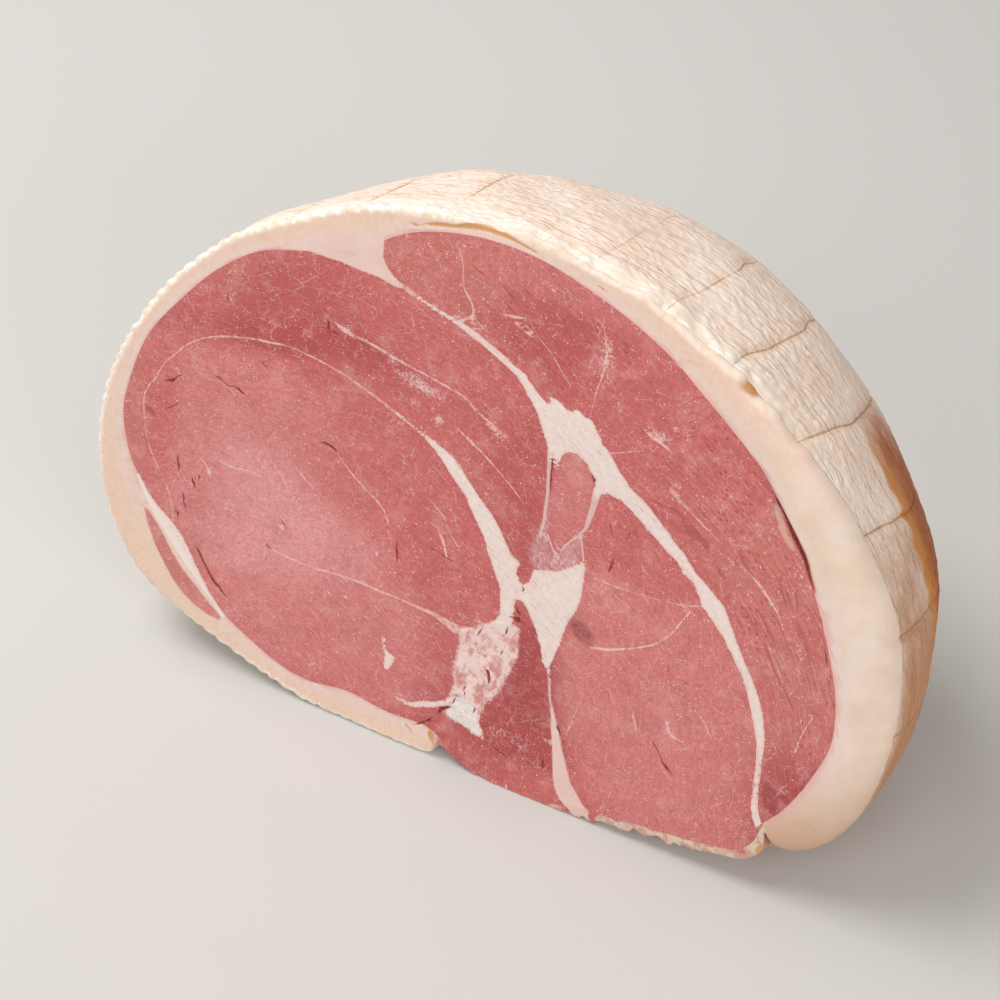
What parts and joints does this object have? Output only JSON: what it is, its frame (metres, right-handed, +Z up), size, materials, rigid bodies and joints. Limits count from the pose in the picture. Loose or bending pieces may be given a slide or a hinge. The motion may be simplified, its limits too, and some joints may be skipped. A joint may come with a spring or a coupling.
{
  "type": "ham joint",
  "caption": "Boneless half joint of cured ham, standing on its belly with a flat leaning cut face of marbled meat in a band of fat, and a domed net-marked rind behind.",
  "frame": {"origin": "middle of the bounding box's base, on the surface the joint rests on", "axes": "+X across the cut face, +Y back into the joint away from the cut face, +Z up"},
  "size_m": [0.2398, 0.1198, 0.161],
  "materials": {
    "cured_meat": "moist cut lean meat with cream fat and dry pale rind"
  },
  "bodies": {
    "root": {"ham_joint": "cured_meat"}
  },
  "joints": []
}
